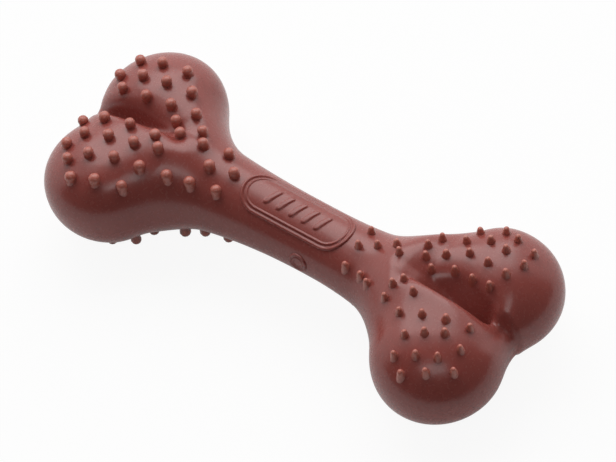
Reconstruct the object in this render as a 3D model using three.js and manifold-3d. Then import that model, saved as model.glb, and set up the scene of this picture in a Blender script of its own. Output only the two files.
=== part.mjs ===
// Dental chew bone: a rubber bone with a round shaft, four knuckles and fields of tooth-cleaning nubs.
// It lies along X with its thickness along Z. The left end (-X) has fat studs and the right end slim cones.
import * as THREE from "three";
import { mergeVertices } from "three/addons/utils/BufferGeometryUtils.js";
import Module from "manifold-3d";

const wasm = await Module();
wasm.setup();

// Driving dimensions in millimetres, measured from the middle of the bone.
const SHAFT_RADIUS = 10.8;
const SHAFT_BOW = 0.6; // how far the shaft's waist is off the centre line, to the far side
const WAIST_X = 8.8; // where the shaft is thinnest
const NECK_X = 42; // where the shaft runs into the knuckles
const LEFT_NECK_RADIUS = 15.5;
const RIGHT_NECK_RADIUS = 14.8;
const LEFT_NECK_SHIFT = -1.25; // how far the left neck is off the centre line, to the near side
const RIGHT_NECK_SHIFT = 0;
const NECK_FLARE_POWER = 2.3;
const NECK_BLEND = 7.4;

// Each knuckle in plan: its centre's distance from the bone's middle and centre line, and its radius.
const LEFT_NEAR_KNUCKLE = { x: 61.5, y: 14.8, radius: 20 };
const LEFT_FAR_KNUCKLE = { x: 63.1, y: 14.8, radius: 20 };
const RIGHT_NEAR_KNUCKLE = { x: 62.2, y: 15.2, radius: 19.6 };
const RIGHT_FAR_KNUCKLE = { x: 63.8, y: 13.7, radius: 19.3 };
const HUB_X = 54.7; // the web of material between the two knuckles of an end
const HUB_RADIUS = 20.8;
const KNUCKLE_BLEND = 7.6;
const KNUCKLE_HALF_THICKNESS = 17.3;
const KNUCKLE_EDGE_ROUND = 19.7; // how far in from its outline a knuckle starts to round over
const KNUCKLE_SQUARENESS = 2.2; // 2 is an ellipse, more is a flatter top
const TAPER_X = 50; // from here to its end the knuckle grows thinner
const TAPER_LENGTH = 30;
const TAPER_SHARE = 0.18;

// The valley between the two knuckles of an end falls from the neck to the end notch.
const VALLEY_NECK_X = 45;
const VALLEY_END_X = 75;
const VALLEY_TURN = 3; // over this width the sharp near edge gives way to the soft far side
const VALLEY_LOW_TURN = 4; // over this height the upper valley's end gives way to the lower one's
const VALLEY_END_CLOSING = 0.75; // how much steeper the far wall gets towards the end
const VALLEY_CLOSE_SHARE = 0.7; // how fast the groove runs out past closeX
// Its line and floor at the neck and at the end, its floor's radius, how much the near wall leans back for
// each millimetre up, how steep the far wall is beside it, where the groove closes, how softly both walls
// run out into the knuckles, and how much softer the near edge is at the end and both edges are at the neck.
const LEFT_VALLEY = {
  neckY: 1.8,
  endY: 1.8,
  neckZ: 16,
  endZ: 6,
  lowEndZ: 10,
  floor: 1.2,
  opening: 0.3,
  farShare: 0.65,
  closeX: 80,
  nearBlend: 3,
  farBlend: 5,
  endSoft: 1,
  neckSoft: 4,
};
const RIGHT_VALLEY = {
  neckY: -3.1,
  endY: 0.4,
  neckZ: 16,
  endZ: 1,
  lowEndZ: 9,
  floor: 0.6,
  opening: 0.2,
  farShare: 0.17,
  closeX: 68.5,
  nearBlend: 2.2,
  farBlend: 5,
  endSoft: 10,
  neckSoft: 5,
};

const FIELD_THICKNESS = 2; // every nub field is a skin of this thickness
const CLEARANCE = 0.3; // between a field and the body that carries it
const FIELD_SPACING = 1.6; // land left on the body between neighbouring fields
const NEAR_FIELD_EDGE = 1.4; // from a knuckle's outline in to the edge of its field
const NEAR_FIELD_OUTWARD = 0.6; // how far out a knuckle's field sits from the knuckle's own centre
const FAR_FIELD_EDGE = 4.6;
const FAR_FIELD_OUTWARD = -1;
const FIELD_TAIL_X = 48; // small round end of a knuckle's field, towards the neck
const FIELD_TAIL_Y = 12;
const FIELD_TAIL_RADIUS = 12.6;
// The bare strip along a valley: where the near and the far field end, at the neck and at the end.
const LEFT_LAND = { near: { neckY: -1.3, endY: -1.3 }, far: { neckY: 0.3, endY: 0.3 } };
const RIGHT_LAND = { near: { neckY: -3.9, endY: -2.6 }, far: { neckY: -2, endY: 1.2 } };
const NECK_FIELD_END_X = 40.3;
const FIELD_LOW_Z = 3; // every field on the upper or lower face ends this far from the mid-plane

const NUB_SINK = 4.5; // how far a nub's foot reaches down into the field, before the field's own floor
const NUB_MARGIN = 0.1; // from a nub's foot to the edge of its field
const UPPER_TIP_TRIM = 0.4; // how much shorter the tallest tips of the upper face are
const LOWER_TIP_TRIM = 2.1; // the lower tips end level under all four knuckles, and the bone lies on them
const STUD_RADIUS = 1.75;
const STUD_HEIGHT = 3;
const STUD_ROUND = 1.3; // how far below its tip a stud starts to round over
const STUD_TIP_RADIUS = 0.8;
const CONE_RADIUS = 1.3;
const CONE_HEIGHT = 2.7;
const CONE_TIP_RADIUS = 0.62;
const NUB_SIDES = 6;

// Rows of nubs in plan, each from its first to its last nub; X counts outwards from the bone's middle.
// On a knuckle they are measured from the knuckle's centre, on the neck from the start of the neck's field.
const LEFT_ROWS = {
  near: [
    { from: [1.6, -12.9], to: [11.1, -3.4], count: 3 },
    { from: [-6, -10.3], to: [8, 2], count: 3 },
    { from: [14.4, 7.8], to: [14.4, 7.8], count: 1 },
    { from: [-13.6, -7], to: [6.6, 9.9], count: 4 },
    { from: [-15, 0.4], to: [-3.2, 11], count: 3 },
    { from: [-16.7, 7.9], to: [-13, 11.3], count: 2 },
  ],
  far: [
    { from: [-18.6, -3.9], to: [-6.5, 7.4], count: 3 },
    { from: [-19.3, -12.6], to: [-15, -9.2], count: 2 },
    { from: [-10.4, -5.7], to: [2.5, 6.1], count: 3 },
    { from: [-1.4, -6.7], to: [10.5, 4.6], count: 3 },
    { from: [8.3, -7.2], to: [13.1, -2.6], count: 2 },
  ],
  neck: [
    { from: [3.9, -7.1], to: [15.6, 2.7], count: 3 },
    { from: [2.2, 0], to: [8.3, 5.4], count: 2 },
    { from: [12.3, -9.1], to: [18.8, -11.6], count: 2 },
    { from: [18.8, 6.6], to: [18.8, 6.6], count: 1 },
  ],
};
const RIGHT_ROWS = {
  near: [
    { from: [-18.7, 6.4], to: [-18.7, 2.1], count: 2 },
    { from: [-16.7, 9.4], to: [-11.3, 6.6], count: 2 },
    { from: [-11.4, -0.6], to: [8.1, 6.6], count: 4 },
    { from: [-5.5, -6.2], to: [3.9, 0.4], count: 3 },
    { from: [10, -0.8], to: [11.8, -7], count: 2 },
    { from: [-4.9, -12.4], to: [6.3, -6.8], count: 3 },
    { from: [-0.6, -15.6], to: [5.7, -11.9], count: 2 },
  ],
  far: [
    { from: [-18.5, -8.6], to: [-15.2, -10.8], count: 2 },
    { from: [-20.3, -5], to: [-14.3, -4.7], count: 2 },
    { from: [-9.2, -7.6], to: [2.6, -7], count: 3 },
    { from: [-8.5, -0.9], to: [5, -2], count: 3 },
    { from: [-18.9, 0], to: [-5.5, 5.5], count: 3 },
    { from: [0.6, 4.6], to: [7.4, 3.6], count: 2 },
    { from: [-11.3, 8.2], to: [-4, 11.1], count: 2 },
    { from: [0.7, 10.4], to: [7.1, 9.1], count: 2 },
  ],
  neck: [
    { from: [2.1, -7.6], to: [2.1, -7.6], count: 1 },
    { from: [8.2, -8.4], to: [11.8, -10], count: 2 },
    { from: [2.5, -1], to: [13.1, 4], count: 3 },
    { from: [16.1, 1.2], to: [16.1, 1.2], count: 1 },
    { from: [2.1, 5.8], to: [2.1, 5.8], count: 1 },
  ],
};
// The lower face's rows are drawn in by this share, towards the point that they are measured from.
const LEFT_LOWER_SHARE = 0.94;
const RIGHT_LOWER_SHARE = 0.85;

const LABEL_X = 1.5;
const LABEL_HALF_LENGTH = 19.5;
const LABEL_HALF_WIDTH = 7;
const LABEL_RIM = 0.9;
const LABEL_BARS = 5;
const LABEL_BAR_PITCH = 4.6;
const LABEL_BAR_WIDTH = 1.6;
const LABEL_BAR_LENGTH = 7.6;
const RELIEF = 0.5; // height of the raised lines on the label and the round mark

const MARK_X = 8;
const MARK_Z = 1.2;
const MARK_RADIUS = 3.2;
const MARK_RIM = 0.7;

const GRID_CELL = 4.9; // the bone's skin has a corner about every cell
const ARC_STEPS = 10;
const CUT_REACH = 40; // long enough for a cutter to leave the bone

const RUBBER = { color: 0x80504a, roughness: 0.42, metalness: 0 };

const LEFT_END = {
  name: "left",
  end: -1,
  neck: { radius: LEFT_NECK_RADIUS, shift: LEFT_NECK_SHIFT },
  knuckles: { near: LEFT_NEAR_KNUCKLE, far: LEFT_FAR_KNUCKLE },
  groove: LEFT_VALLEY,
  land: LEFT_LAND,
  rows: LEFT_ROWS,
  lowerShare: LEFT_LOWER_SHARE,
  radius: STUD_RADIUS,
  tall: STUD_HEIGHT,
  profile: studProfile,
};
const RIGHT_END = {
  name: "right",
  end: 1,
  neck: { radius: RIGHT_NECK_RADIUS, shift: RIGHT_NECK_SHIFT },
  knuckles: { near: RIGHT_NEAR_KNUCKLE, far: RIGHT_FAR_KNUCKLE },
  groove: RIGHT_VALLEY,
  land: RIGHT_LAND,
  rows: RIGHT_ROWS,
  lowerShare: RIGHT_LOWER_SHARE,
  radius: CONE_RADIUS,
  tall: CONE_HEIGHT,
  profile: coneProfile,
};
const SIDES = [
  { name: "near", side: -1, outward: NEAR_FIELD_OUTWARD, edge: NEAR_FIELD_EDGE },
  { name: "far", side: 1, outward: FAR_FIELD_OUTWARD, edge: FAR_FIELD_EDGE },
];
const FACES = [
  { name: "upper", face: 1 },
  { name: "lower", face: -1 },
];

const clamp = (value, low, high) => Math.min(Math.max(value, low), high);
const mixed = (from, to, share) => from + (to - from) * share;

function smoothStep(value) {
  const share = clamp(value, 0, 1);
  return share ** 2 * (3 - 2 * share);
}

function smoothMin(a, b, width) {
  const share = clamp(0.5 + (0.5 * (b - a)) / width, 0, 1);
  return b * (1 - share) + a * share - width * share * (1 - share);
}

const smoothMax = (a, b, width) => -smoothMin(-a, -b, width);

// Distance in plan from the outline of one knuckle with its half of the hub, below zero inside.
function knucklePlan(x, y, knuckle) {
  const alongX = knuckle.x - HUB_X;
  const share = clamp(((x - HUB_X) * alongX + y * knuckle.y) / (alongX ** 2 + knuckle.y ** 2), 0, 1);
  const radius = mixed(HUB_RADIUS, knuckle.radius, share);
  return Math.hypot(x - HUB_X - share * alongX, y - share * knuckle.y) - radius;
}

// Gives an outline in plan its thickness, which tapers to the end and rounds over at the edge.
function roundedOver(plan, x, z) {
  const taper = TAPER_SHARE * clamp((x - TAPER_X) / TAPER_LENGTH, 0, 1);
  const thickness = KNUCKLE_HALF_THICKNESS * (1 - taper);
  const inward = Math.max(1 + plan / KNUCKLE_EDGE_ROUND, 0) ** KNUCKLE_SQUARENESS;
  const rise = (Math.abs(z) / thickness) ** KNUCKLE_SQUARENESS;
  return ((inward + rise) ** (1 / KNUCKLE_SQUARENESS) - 1) * KNUCKLE_EDGE_ROUND;
}

function shaft(x, y, z) {
  const fromWaist = x - WAIST_X;
  const { end, neck } = fromWaist < 0 ? LEFT_END : RIGHT_END;
  const share = Math.min(Math.abs(fromWaist) / (NECK_X - end * WAIST_X), 1);
  const radius = mixed(SHAFT_RADIUS, neck.radius, share ** NECK_FLARE_POWER);
  const middle = mixed(SHAFT_BOW, neck.shift, share ** 2);
  return Math.hypot(y - middle, z, Math.max(Math.abs(x) - NECK_X, 0)) - radius;
}

// Falls from one at the start of a valley to nothing at its end.
const valleyFall = (x) => Math.max(VALLEY_END_X - x, 0) / (VALLEY_END_X - VALLEY_NECK_X);

const lineAlongValley = ({ neckY, endY }, x) => mixed(endY, neckY, valleyFall(x));

// How far a place is from the valley's walls, and how softly it runs out there.
function valley(x, y, z, groove) {
  const endZ = mixed(groove.endZ, groove.lowEndZ, smoothStep(-z / VALLEY_LOW_TURN));
  const floor = mixed(endZ, groove.neckZ, valleyFall(x) ** 2);
  const under = Math.max(floor - Math.abs(z), 0);
  const over = Math.max(Math.abs(z) - floor, 0);
  const fromLine = y - lineAlongValley(groove, x);
  const alongEnd = Math.max(1 - valleyFall(x), 0);
  const alongNeck = 1 - alongEnd;
  const farShare = groove.farShare + VALLEY_END_CLOSING * alongEnd ** 3;
  const sideways = Math.max(-fromLine, fromLine * farShare);
  const pastClose = Math.max(x - groove.closeX, 0) * VALLEY_CLOSE_SHARE;
  const gap = Math.hypot(sideways, under, pastClose) - groove.floor - over * groove.opening;
  const nearBlend = groove.nearBlend + groove.endSoft * alongEnd ** 4 + groove.neckSoft * alongNeck ** 8;
  const farBlend = groove.farBlend + groove.neckSoft * alongNeck ** 2;
  const blend = mixed(nearBlend, farBlend, smoothStep(fromLine / VALLEY_TURN));
  return { gap, blend };
}

// Below zero inside the bone, above zero outside.
function boneField(x, y, z) {
  const along = Math.abs(x);
  const { knuckles, groove } = x < 0 ? LEFT_END : RIGHT_END;
  const near = knucklePlan(along, -y, knuckles.near);
  const outline = smoothMin(knucklePlan(along, y, knuckles.far), near, KNUCKLE_BLEND);
  const whole = smoothMin(roundedOver(outline, along, z), shaft(x, y, z), NECK_BLEND);
  const { gap, blend } = valley(along, y, z, groove);
  return smoothMax(whole, -gap, blend);
}

function fieldSlope(point) {
  const nudge = 0.01;
  const { x, y, z } = point;
  return new THREE.Vector3(
    boneField(x + nudge, y, z) - boneField(x - nudge, y, z),
    boneField(x, y + nudge, z) - boneField(x, y - nudge, z),
    boneField(x, y, z + nudge) - boneField(x, y, z - nudge),
  ).divideScalar(2 * nudge);
}

// The bone's skin as corners and triangles: one corner in each grid cell that the skin crosses.
function skinOfBone() {
  const knuckles = [LEFT_END, RIGHT_END].flatMap((end) => Object.values(end.knuckles));
  const half = [
    Math.max(...knuckles.map(({ x, radius }) => x + radius)),
    Math.max(...knuckles.map(({ y, radius }) => y + radius)),
    Math.max(KNUCKLE_HALF_THICKNESS, LEFT_NECK_RADIUS, RIGHT_NECK_RADIUS),
  ];
  const cells = half.map((reach) => 2 * (Math.ceil(reach / GRID_CELL) + 1));
  const place = (index, axis) => (index - cells[axis] / 2) * GRID_CELL;
  const sample = (i, j, k) => boneField(place(i, 0), place(j, 1), place(k, 2));
  const key = (i, j, k) => (i * (cells[1] + 1) + j) * (cells[2] + 1) + k;
  const values = new Map();
  for (let i = 0; i <= cells[0]; i++)
    for (let j = 0; j <= cells[1]; j++)
      for (let k = 0; k <= cells[2]; k++) values.set(key(i, j, k), sample(i, j, k));

  const corners = [];
  const cornerOfCell = new Map();
  for (let i = 0; i < cells[0]; i++)
    for (let j = 0; j < cells[1]; j++)
      for (let k = 0; k < cells[2]; k++) {
        const crossing = cellCrossing([i, j, k], values, key, place);
        if (!crossing) continue;
        cornerOfCell.set(key(i, j, k), corners.length);
        corners.push(pulledToSkin(crossing));
      }

  const triangles = [];
  const steps = [
    [1, 0, 0],
    [0, 1, 0],
    [0, 0, 1],
  ];
  for (let i = 1; i < cells[0]; i++)
    for (let j = 1; j < cells[1]; j++)
      for (let k = 1; k < cells[2]; k++)
        for (let axis = 0; axis < 3; axis++) {
          const step = steps[axis];
          const here = values.get(key(i, j, k)) < 0;
          const there = values.get(key(i + step[0], j + step[1], k + step[2])) < 0;
          if (here === there) continue;
          const one = steps[(axis + 1) % 3];
          const two = steps[(axis + 2) % 3];
          const around = [
            [1, 1],
            [0, 1],
            [0, 0],
            [1, 0],
          ].map(([a, b]) =>
            cornerOfCell.get(
              key(i - a * one[0] - b * two[0], j - a * one[1] - b * two[1], k - a * one[2] - b * two[2]),
            ),
          );
          pushQuad(triangles, corners, here ? around : around.reverse());
        }
  return { corners, triangles };
}

// Mean of the points where the skin crosses a cell's twelve edges, or nothing where it misses the cell.
function cellCrossing(cell, values, key, place) {
  const sum = new THREE.Vector3();
  let count = 0;
  for (let axis = 0; axis < 3; axis++)
    for (let a = 0; a < 2; a++)
      for (let b = 0; b < 2; b++) {
        const start = [...cell];
        start[(axis + 1) % 3] += a;
        start[(axis + 2) % 3] += b;
        const end = [...start];
        end[axis] += 1;
        const from = values.get(key(...start));
        const to = values.get(key(...end));
        if (from < 0 === to < 0) continue;
        const point = start.map((index, side) => place(index, side));
        point[axis] += (GRID_CELL * from) / (from - to);
        sum.add(new THREE.Vector3(...point));
        count += 1;
      }
  return count ? sum.divideScalar(count) : null;
}

function pulledToSkin(start) {
  const point = start.clone();
  for (let pass = 0; pass < 5; pass++) {
    const slope = fieldSlope(point);
    point.addScaledVector(slope, -boneField(point.x, point.y, point.z) / slope.lengthSq());
  }
  return point;
}

// Two triangles, split along the quad's shorter diagonal.
function pushQuad(triangles, corners, [a, b, c, d]) {
  const first = corners[a].distanceTo(corners[c]);
  const second = corners[b].distanceTo(corners[d]);
  if (first <= second) triangles.push(a, b, c, a, c, d);
  else triangles.push(a, b, d, b, c, d);
}

// The same skin moved out along its own normals, or in where the distance is below zero.
function movedSkin({ corners, triangles }, distance) {
  const moved = corners.map((corner) =>
    corner.clone().addScaledVector(fieldSlope(corner).normalize(), distance),
  );
  const geometry = new THREE.BufferGeometry().setFromPoints(moved);
  return geometry.setIndex(triangles);
}

function solidOf(geometry) {
  const bare = geometry.clone();
  bare.deleteAttribute("normal");
  bare.deleteAttribute("uv");
  const merged = mergeVertices(bare, 1e-4);
  const kept = [];
  for (let i = 0; i < merged.index.count; i += 3) {
    const [a, b, c] = [0, 1, 2].map((corner) => merged.index.getX(i + corner));
    if (a !== b && b !== c && c !== a) kept.push(a, b, c);
  }
  return new wasm.Manifold(
    new wasm.Mesh({
      numProp: 3,
      vertProperties: new Float32Array(merged.attributes.position.array),
      triVerts: new Uint32Array(kept),
    }),
  );
}

function geometryOf(solid) {
  const mesh = solid.getMesh();
  const geometry = new THREE.BufferGeometry();
  geometry.setAttribute("position", new THREE.BufferAttribute(mesh.vertProperties, 3));
  geometry.setIndex(new THREE.BufferAttribute(mesh.triVerts, 1));
  return geometry.toNonIndexed();
}

// How far the skin of the upper or lower face is from the mid-plane at a place in plan, zero off the bone.
function skinHeight(x, y, face) {
  let low = 0;
  let high = CUT_REACH;
  for (let pass = 0; pass < 40; pass++) {
    const middle = (low + high) / 2;
    if (boneField(x, y, face * middle) < 0) low = middle;
    else high = middle;
  }
  return low;
}

// A straight-sided cutter over an outline in plan, for the upper or the lower face.
function planCutter(outline, face, grow) {
  const geometry = new THREE.ExtrudeGeometry(new THREE.Shape(outline), {
    depth: CUT_REACH,
    bevelEnabled: false,
  });
  const low = FIELD_LOW_Z - grow;
  geometry.translate(0, 0, face > 0 ? low : -low - CUT_REACH);
  return solidOf(geometry);
}

// Outline round two circles and their outer tangents.
function tangentOutline(first, second) {
  const along = Math.atan2(second.y - first.y, second.x - first.x);
  const apart = Math.hypot(second.x - first.x, second.y - first.y);
  const spread = Math.acos((first.radius - second.radius) / apart);
  const points = [];
  const addArc = (circle, from, to) => {
    for (let step = 0; step <= ARC_STEPS; step++) {
      const angle = from + ((to - from) * step) / ARC_STEPS;
      const x = circle.x + circle.radius * Math.cos(angle);
      points.push(new THREE.Vector2(x, circle.y + circle.radius * Math.sin(angle)));
    }
  };
  addArc(second, along - spread, along + spread);
  addArc(first, along + spread, along + 2 * Math.PI - spread);
  return points;
}

// The small round end and the large round end of a knuckle's field, in plan.
function fieldEnds(knuckle, { outward, edge }, grow) {
  const tail = { x: FIELD_TAIL_X, y: FIELD_TAIL_Y, radius: FIELD_TAIL_RADIUS + grow };
  const head = { x: knuckle.x, y: knuckle.y + outward, radius: knuckle.radius - edge + grow };
  return { tail, head };
}

const leastFieldX = NECK_FIELD_END_X + FIELD_SPACING;
const leastFieldY = (x, { land }, { name, side }) => side * lineAlongValley(land[name], x);

// Outline of a knuckle's field, clear of the valley and of the neck's field.
function knuckleOutline(end, side, grow) {
  const { tail, head } = fieldEnds(end.knuckles[side.name], side, grow);
  return tangentOutline(tail, head).map((point) => {
    const x = Math.max(point.x, leastFieldX - grow);
    const y = Math.max(point.y, leastFieldY(x, end, side) - grow);
    return new THREE.Vector2(end.end * x, side.side * y);
  });
}

// How far inside a knuckle's field a place lies, in millimetres.
function depthInKnuckleField(x, y, end, side) {
  const { tail, head } = fieldEnds(end.knuckles[side.name], side, 0);
  const alongX = head.x - tail.x;
  const alongY = head.y - tail.y;
  const share = clamp(((x - tail.x) * alongX + (y - tail.y) * alongY) / (alongX ** 2 + alongY ** 2), 0, 1);
  const radius = mixed(tail.radius, head.radius, share);
  const reach = Math.hypot(x - tail.x - share * alongX, y - tail.y - share * alongY);
  return Math.min(radius - reach, y - leastFieldY(x, end, side), x - leastFieldX);
}

const neckFieldStart = (end) => LABEL_HALF_LENGTH + end * LABEL_X + FIELD_SPACING;

function depthInNeckField(end, x, y, face) {
  const height = skinHeight(end * x, y, face);
  if (height < FIELD_LOW_Z + FIELD_THICKNESS) return -Infinity;
  return Math.min(x - neckFieldStart(end), NECK_FIELD_END_X - x);
}

function neckCutter(end, face, grow) {
  const start = neckFieldStart(end) - grow;
  const length = NECK_FIELD_END_X + grow - start;
  const low = FIELD_LOW_Z - grow;
  const box = new THREE.BoxGeometry(length, 2 * CUT_REACH, CUT_REACH);
  box.translate(end * (start + length / 2), 0, face * (low + CUT_REACH / 2));
  return solidOf(box);
}

// Places of the nubs of one row list, for the end at -X or +X.
function placesInRows(rows, end, originX, originY, drawnIn) {
  return rows.flatMap(({ from, to, count }) =>
    Array.from({ length: count }, (_, index) => {
      const share = count > 1 ? index / (count - 1) : 0;
      const place = new THREE.Vector2(...from).lerp(new THREE.Vector2(...to), share);
      return new THREE.Vector2(end * (originX + drawnIn * place.x), originY + drawnIn * place.y);
    }),
  );
}

function studProfile(foot, top) {
  return [
    [STUD_RADIUS, foot],
    [STUD_RADIUS, top - STUD_ROUND],
    [STUD_TIP_RADIUS, top],
  ];
}

function coneProfile(foot, top) {
  return [
    [CONE_RADIUS, foot],
    [CONE_TIP_RADIUS, top],
  ];
}

// How far from the mid-plane the tallest tips of a face end.
function tipLevel(face) {
  const trim = face > 0 ? UPPER_TIP_TRIM : LOWER_TIP_TRIM;
  return KNUCKLE_HALF_THICKNESS + STUD_HEIGHT - trim;
}

// One nub, upright on its face of the bone, with its foot sunk through the field's skin.
function nub(place, face, { tall, profile }) {
  const height = skinHeight(place.x, place.y, face);
  const top = Math.min(tall, tipLevel(face) - height);
  const foot = Math.max(-NUB_SINK, FIELD_LOW_Z - height);
  const sides = profile(foot, top).map(([radius, rise]) => new THREE.Vector2(radius, rise));
  const outline = [new THREE.Vector2(0, foot), ...sides, new THREE.Vector2(0, top)];
  const geometry = new THREE.LatheGeometry(outline, NUB_SIDES);
  geometry.rotateX((face * Math.PI) / 2);
  geometry.translate(place.x, place.y, face * height);
  return solidOf(geometry);
}

const skin = skinOfBone();
const bone = solidOf(movedSkin(skin, 0));
const fieldFloor = solidOf(movedSkin(skin, -FIELD_THICKNESS));
const recessFloor = solidOf(movedSkin(skin, -FIELD_THICKNESS - CLEARANCE)).intersect(fieldFloor);
const reliefTop = solidOf(movedSkin(skin, RELIEF));

// A field is the bone's skin inside a cutter, with what stands on it.
function field(cutter, standing) {
  const patch = standing.reduce((whole, piece) => whole.add(piece), cutter.intersect(bone));
  return patch.subtract(fieldFloor);
}

const pieces = new Map();
let body = bone;

function inlay(name, cutterFor, standing) {
  pieces.set(name, field(cutterFor(0), standing));
  body = body.subtract(cutterFor(CLEARANCE).subtract(recessFloor));
}

for (const end of [LEFT_END, RIGHT_END])
  for (const { name: faceName, face } of FACES) {
    const room = end.radius + NUB_MARGIN;
    const stand = (chosen) => chosen.map((place) => nub(place, face, end));
    const drawnIn = face < 0 ? end.lowerShare : 1;
    for (const side of SIDES) {
      const knuckle = end.knuckles[side.name];
      const places = placesInRows(end.rows[side.name], end.end, knuckle.x, side.side * knuckle.y, drawnIn);
      const depth = (place) => depthInKnuckleField(end.end * place.x, side.side * place.y, end, side);
      const inField = places.filter((place) => depth(place) > room);
      const cutterFor = (grow) => planCutter(knuckleOutline(end, side, grow), face, grow);
      inlay(`knuckle_nubs_${end.name}_${side.name}_${faceName}`, cutterFor, stand(inField));
    }
    const places = placesInRows(end.rows.neck, end.end, neckFieldStart(end.end), 0, drawnIn);
    const onNeck = places.filter(({ x, y }) => depthInNeckField(end.end, end.end * x, y, face) > room);
    const saddleFor = (grow) => neckCutter(end.end, face, grow);
    inlay(`neck_nubs_${end.name}_${faceName}`, saddleFor, stand(onNeck));
  }

// The label field has a plain raised rim and a row of plain upright bars.
function labelOutline(grow) {
  const radius = LABEL_HALF_WIDTH + grow;
  const straight = LABEL_HALF_LENGTH - LABEL_HALF_WIDTH;
  const left = { x: LABEL_X - straight, y: 0, radius };
  const right = { x: LABEL_X + straight, y: 0, radius };
  return tangentOutline(left, right);
}

const labelCutter = (grow) => planCutter(labelOutline(grow), 1, grow);

function labelRelief() {
  const rim = labelCutter(0).subtract(labelCutter(-LABEL_RIM));
  const bars = [];
  for (let bar = 0; bar < LABEL_BARS; bar++) {
    const box = new THREE.BoxGeometry(LABEL_BAR_WIDTH, LABEL_BAR_LENGTH, CUT_REACH);
    box.translate(LABEL_X + (bar - (LABEL_BARS - 1) / 2) * LABEL_BAR_PITCH, 0, CUT_REACH / 2);
    bars.push(solidOf(box));
  }
  return [rim, ...bars].map((relief) => relief.intersect(reliefTop));
}

inlay("label_field", labelCutter, labelRelief());

// The round mark on the near side is a plain disc with a raised rim, clear of the label field.
function markCutter(grow) {
  const disc = new THREE.CylinderGeometry(MARK_RADIUS + grow, MARK_RADIUS + grow, CUT_REACH, 2 * ARC_STEPS);
  disc.translate(MARK_X, -CUT_REACH / 2, MARK_Z);
  return solidOf(disc).subtract(labelCutter(2 * CLEARANCE + FIELD_SPACING / 4 - grow));
}

const markRim = markCutter(0).subtract(markCutter(-MARK_RIM)).intersect(reliefTop);
inlay("round_mark", markCutter, [markRim]);
pieces.set("bone_body", body);

const chewBone = new THREE.Group();
chewBone.position.z = tipLevel(-1); // the lowest tips stand on z = 0
for (const [name, solid] of pieces) {
  const mesh = new THREE.Mesh(geometryOf(solid), new THREE.MeshStandardMaterial(RUBBER));
  mesh.name = name;
  chewBone.add(mesh);
}

export default chewBone;
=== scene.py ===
"""Dental chew bone: one moulding of brown rubber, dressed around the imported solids.

All sizes are in metres, in the frame of the solids: X along the bone, Z up, the lowest nub tips at z = 0.
"""

import math

import bpy
from mathutils import Matrix, Vector


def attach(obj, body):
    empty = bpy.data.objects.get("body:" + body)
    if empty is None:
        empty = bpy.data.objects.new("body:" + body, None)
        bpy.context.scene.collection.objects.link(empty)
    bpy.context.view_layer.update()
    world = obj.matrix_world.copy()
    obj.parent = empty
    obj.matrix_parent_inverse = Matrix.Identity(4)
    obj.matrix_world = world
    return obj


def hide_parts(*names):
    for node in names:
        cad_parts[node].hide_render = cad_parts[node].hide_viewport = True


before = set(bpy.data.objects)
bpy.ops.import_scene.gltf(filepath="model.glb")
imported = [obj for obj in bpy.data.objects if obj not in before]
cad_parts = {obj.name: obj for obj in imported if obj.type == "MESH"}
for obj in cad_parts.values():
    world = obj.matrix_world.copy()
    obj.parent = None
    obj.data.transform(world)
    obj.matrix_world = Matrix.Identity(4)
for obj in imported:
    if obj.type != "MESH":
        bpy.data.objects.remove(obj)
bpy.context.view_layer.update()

MM = 0.001
MID_Z = 18.2 * MM  # height of the bone's mid-plane over the table

# Sizes of the bone's skin, the same rule as in the part's source.
BONE = {
    "Shaft Radius": 10.8 * MM,
    "Shaft Bow": 0.6 * MM,
    "Waist X": 8.8 * MM,
    "Neck X": 42 * MM,
    "Left Neck Radius": 15.5 * MM,
    "Right Neck Radius": 14.8 * MM,
    "Left Neck Shift": -1.25 * MM,
    "Right Neck Shift": 0.0 * MM,
    "Neck Flare": 2.3,
    "Neck Blend": 7.4 * MM,
    "Hub X": 54.7 * MM,
    "Hub Radius": 20.8 * MM,
    "Half Thickness": 17.3 * MM,
    "Squareness": 2.2,
    "Edge Round": 19.7 * MM,
    "Knuckle Blend": 7.6 * MM,
    "Taper X": 50 * MM,
    "Taper Length": 30 * MM,
    "Taper Share": 0.18,
    "Valley Neck X": 45 * MM,
    "Valley End X": 75 * MM,
    "Left Valley Neck Y": 1.8 * MM,
    "Left Valley End Y": 1.8 * MM,
    "Left Valley Neck Z": 16 * MM,
    "Left Valley End Z": 6 * MM,
    "Left Valley Low End Z": 10 * MM,
    "Left Valley Near Blend": 3 * MM,
    "Left Valley Far Blend": 5 * MM,
    "Left Valley End Soft": 1 * MM,
    "Left Valley Neck Soft": 4 * MM,
    "Left Valley Floor": 1.2 * MM,
    "Left Valley Opening": 0.3,
    "Left Valley Far Share": 0.65,
    "Left Valley Close X": 80 * MM,
    "Right Valley Neck Y": -3.1 * MM,
    "Right Valley End Y": 0.4 * MM,
    "Right Valley Neck Z": 16 * MM,
    "Right Valley End Z": 1 * MM,
    "Right Valley Low End Z": 9 * MM,
    "Right Valley Near Blend": 2.2 * MM,
    "Right Valley Far Blend": 5 * MM,
    "Right Valley End Soft": 10 * MM,
    "Right Valley Neck Soft": 5 * MM,
    "Right Valley Floor": 0.6 * MM,
    "Right Valley Opening": 0.2,
    "Right Valley Far Share": 0.17,
    "Right Valley Close X": 68.5 * MM,
    "Valley Turn": 3 * MM,
    "Low Turn": 4 * MM,
    "Valley End Closing": 0.75,
    "Valley Close Share": 0.7,
    "Mid Z": MID_Z,
}
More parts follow.
